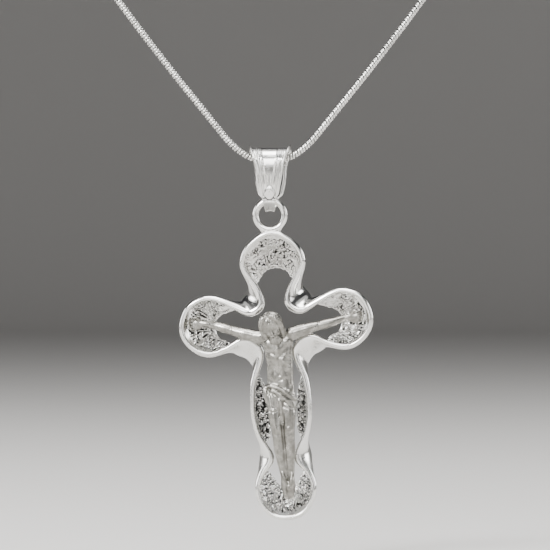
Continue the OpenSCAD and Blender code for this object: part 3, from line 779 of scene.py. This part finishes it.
for x in (-0.62, 1.15):
    body_strokes.append(([(x - 0.35, -32.75), (x, -32.95), (x + 0.35, -32.75)], 0.14, 0.08))
    body_strokes.append(([(x, -33.3), (x + 0.15, -37)], 0.13, -0.06))
for x, _, z, _ in (left_foot[-1], right_foot[-1]):
    for k in range(4):
        toe = x - 0.27 + 0.18 * k
        body_strokes.append(([(toe, z + 0.25), (toe, z - 0.6)], 0.05, 0.09))
for x in (-6.8, 6.45):
    body_strokes.append(([(x, -16.3), (x + 0.1, -17.5)], 0.12, 0.07))
chisel(body, body_strokes)
# The brush took the sharpness from the strokes
for _ in range(3):
    bmesh.ops.smooth_vert(body, verts=body.verts, factor=0.5, use_axis_x=True, use_axis_y=True,
                          use_axis_z=True)


def satin_silver(name, colour, dark, patina_and_shade_colour):
    """Cast silver under a fibre brush: a soft grey that is lighter where cloth rubs it and
    darker in its hollows, partly as patina and partly as painted shade. The brush leaves a grit
    of 0.02 mm, too fine to show, so that it is drawn six times as coarse."""
    material = bpy.data.materials.new(name)
    material.use_nodes = True
    tree = material.node_tree
    shader = tree.nodes["Principled BSDF"]
    place = add_node(material, "TexCoord").outputs["Object"]
    mottle = add_node(material, "TexNoise", {"Vector": place, "Scale": 1 / (mottle_mm * mm),
                                             "Detail": 3})
    worn = add_node(material, "MapRange", {"Value": mottle.outputs["Fac"], "From Min": 0.35,
                                           "From Max": 0.65})
    skin = add_node(material, "Mix", {0: worn.outputs["Result"], 6: linear(dark), 7: linear(colour)},
                    data_type="RGBA")
    tarnish_and_shade = add_node(material, "Attribute", attribute_name="tarnish_and_shade").outputs["Fac"]
    tone = add_node(material, "Mix", {0: tarnish_and_shade, 6: skin.outputs[2], 7: linear(patina_and_shade_colour)},
                    data_type="RGBA")
    grit = add_node(material, "TexNoise", {"Vector": place, "Scale": 1 / (grit_mm * mm),
                                           "Detail": 3})
    bump = add_node(material, "Bump", {"Height": grit.outputs["Fac"], "Strength": 0.15,
                                       "Distance": 0.02 * mm})
    rough = add_node(material, "MapRange", {"Value": mottle.outputs["Fac"], "From Min": 0.3,
                                            "From Max": 0.7, "To Min": 0.34, "To Max": 0.26})
    tree.links.new(tone.outputs[2], shader.inputs["Base Color"])
    tree.links.new(rough.outputs["Result"], shader.inputs["Roughness"])
    tree.links.new(bump.outputs["Normal"], shader.inputs["Normal"])
    shader.inputs["Metallic"].default_value = 1
    return material


figure_silver = satin_silver("satin_cast_silver", satin_colour, satin_dark, satin_patina_and_shade)
# Its hollows and creases are painted darker, partly as patina and partly as shade
body_mesh = finished_mesh("figure_body", body, to_cross, passes=40, deep=0.24)
figure_body = add_piece("figure_body", body_mesh, "crucifix", figure_silver)
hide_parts("corpus")

# Head: modelled in the same wax with a finer tool. The face is calm, with closed eyes and
# even, ordinary proportions, the hair parted in the middle and combed in strands.
head_grain = 0.045
head_place = Vector((-0.42, -3, -16.9))
head_bow = 20  # degrees forwards
head_tilt = -17  # degrees sideways
to_head = (Matrix.Translation(head_place) @ Matrix.Rotation(math.radians(head_bow), 4, "X")
           @ Matrix.Rotation(math.radians(head_tilt), 4, "Y"))
# Skull and jaw, then on both sides the hair, cheek, eyelid, brow, nostril and moustache
wax = bmesh.new()
blob(wax, (0, 0.2, 0.65), (1.85, 1.65, 1.85))
blob(wax, (0, -0.35, -0.5), (1.05, 1, 1.45))
for side in (-1, 1):
    limb(wax, [(side * 0.6, -0.7, 2, 0.42), (side * 1.2, -0.75, 1.3, 0.46),
               (side * 1.42, -0.45, 0.3, 0.48), (side * 1.34, -0.25, -0.7, 0.5),
               (side * 1.1, -0.05, -1.6, 0.5), (side * 0.8, 0.2, -2.2, 0.45)])
    blob(wax, (side * 0.55, -0.98, -0.42), (0.36, 0.3, 0.32))
    blob(wax, (side * 0.4, -1.13, 0.1), (0.25, 0.17, 0.15))
    limb(wax, [(side * 0.08, -1.34, 0.36, 0.13), (side * 0.42, -1.28, 0.42, 0.14),
               (side * 0.78, -1.05, 0.3, 0.12)])
    blob(wax, (side * 0.15, -1.4, -0.5), (0.12, 0.12, 0.11))
    limb(wax, [(side * 0.06, -1.4, -0.82, 0.14), (side * 0.4, -1.25, -0.95, 0.15),
               (side * 0.62, -1, -1.3, 0.16)])
# Bridge of the nose, lips and beard
limb(wax, [(0, -1.26, 0.3, 0.13), (0, -1.4, -0.1, 0.14), (0, -1.52, -0.45, 0.17)])
blob(wax, (0, -1.27, -1), (0.28, 0.14, 0.09))
blob(wax, (0, -1.25, -1.17), (0.24, 0.15, 0.09))
blob(wax, (0, -0.7, -1.6), (1.08, 0.75, 0.85))
blob(wax, (0, -0.8, -2), (0.75, 0.6, 0.62))
head_shape = melted(wax, head_grain, 4)
# Strands of hair fall from the crown, those of the beard from the lips
head_shape.normal_update()
for vert in head_shape.verts:
    x, y, z = vert.co
    beard = smooth_step(-1.15, -1.4, z) * smooth_step(0.2, -0.5, y)
    shown_face = smooth_step(1.1, 0.8, abs(x)) * smooth_step(1.35, 1.05, z)
    shown_face *= smooth_step(-0.5, -0.8, y)
    turn = math.atan2(y - 0.3, x) + 0.12 * math.sin(1.9 * z) + 0.2 * noise.noise(vert.co / 1.2)
    strand = abs(math.sin(15 * turn)) * (1 - beard) + abs(math.sin(x / 0.14 + 0.6 * z)) * beard
    vert.co += vert.normal * 0.06 * (strand - 0.6) * (1 - shown_face * (1 - beard))
# Mouth, the closed lids of both eyes, and the parting of the hair
chisel(head_shape, [([(-0.24, -1.1), (0, -1.08), (0.24, -1.1)], 0.05, 0.06),
                    ([(-0.62, 0.04), (-0.42, 0), (-0.2, 0.04)], 0.04, 0.05),
                    ([(0.62, 0.04), (0.42, 0), (0.2, 0.04)], 0.04, 0.05),
                    ([(0, 1.3), (0, 2.5)], 0.09, 0.1)])
# Its hollows are painted darker, partly as patina and partly as shade
head_mesh = finished_mesh("figure_head", head_shape, to_cross @ to_head, passes=40, deep=0.16)
head = add_piece("figure_head", head_mesh, "crucifix", figure_silver)
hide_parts("corpus")

# Floor: a plain sheet of pale matt paper under the pendant, in metres. It curves up all
# round like a bowl, so that it shows no edge from any side.
floor_gap = 6 * mm
floor_r = 2.8
curve_r = 0.6
wall_top = 1.1
floor_sides = 96
paper_colour = "#CDCBC8"
paper_roughness = 0.9
floor_z = cad_box[0][2] - floor_gap
sheet = bmesh.new()
bmesh.ops.create_circle(sheet, cap_ends=True, cap_tris=True, segments=floor_sides, radius=floor_r)
edges = [edge for edge in sheet.edges if edge.is_boundary]
rise = [(floor_r + curve_r * math.sin(math.radians(degrees)),
         curve_r * (1 - math.cos(math.radians(degrees)))) for degrees in range(10, 91, 10)]
rise.append((floor_r + curve_r, wall_top))
for far, high in rise:
    drawn = bmesh.ops.extrude_edge_only(sheet, edges=edges)["geom"]
    edges = [part for part in drawn if isinstance(part, bmesh.types.BMEdge)]
    for part in drawn:
        if isinstance(part, bmesh.types.BMVert):
            part.co = Vector((part.co.x, part.co.y, 0)).normalized() * far + Vector((0, 0, high))
bmesh.ops.recalc_face_normals(sheet, faces=sheet.faces)
if sum(face.normal.z for face in sheet.faces) < 0:
    bmesh.ops.reverse_faces(sheet, faces=sheet.faces)
bmesh.ops.translate(sheet, vec=(0, hang.y * mm, floor_z), verts=sheet.verts)
for face in sheet.faces:
    face.smooth = True
floor_mesh = bpy.data.meshes.new("floor")
sheet.to_mesh(floor_mesh)
sheet.free()
floor = bpy.data.objects.new("floor", floor_mesh)
bpy.context.scene.collection.objects.link(floor)
paper = bpy.data.materials.new("matt_paper")
paper.use_nodes = True
paper.node_tree.nodes["Principled BSDF"].inputs["Base Color"].default_value = linear(paper_colour)
paper.node_tree.nodes["Principled BSDF"].inputs["Roughness"].default_value = paper_roughness
floor_mesh.materials.append(paper)

# Light: soft lamps above, in front and at both sides of the pendant, in a dim room. The
# silver mirrors the lamps, the pale floor and the dim gaps between them.
room_grey = "#303032"
lit_place = Vector((0, -0.124, -0.16))
# Each lamp's name, place and width in metres, and power in watts
lamps = [
    ("room", (0, 0, 2.4), 3.6, 23), ("top", (0, -0.3, 0.6), 0.5, 9),
    ("key", (-0.45, -0.75, 0.35), 0.3, 13), ("front", (0, -0.85, 0.2), 0.35, 3),
    ("wide", (-0.6, -0.85, 0.08), 0.44, 1.3), ("fill", (0.75, -0.7, 0.06), 0.4, 1.3),
    ("left", (-0.9, 0.1, 0.1), 0.44, 4.6), ("right", (0.9, 0.2, 0.12), 0.44, 4.6)]
world = bpy.data.worlds.new("studio")
bpy.context.scene.world = world
world.use_nodes = True
world.node_tree.nodes["Background"].inputs["Color"].default_value = linear(room_grey)
world.node_tree.nodes["Background"].inputs["Strength"].default_value = 1
for name, place, width, power in lamps:
    light_data = bpy.data.lights.new(name, "AREA")
    light_data.size = width
    light_data.energy = power
    light = bpy.data.objects.new(name, light_data)
    light.location = place
    aim = lit_place - Vector(place)
    light.rotation_euler = aim.to_track_quat("-Z", "Y").to_euler()
    light.visible_camera = False
    bpy.context.scene.collection.objects.link(light)
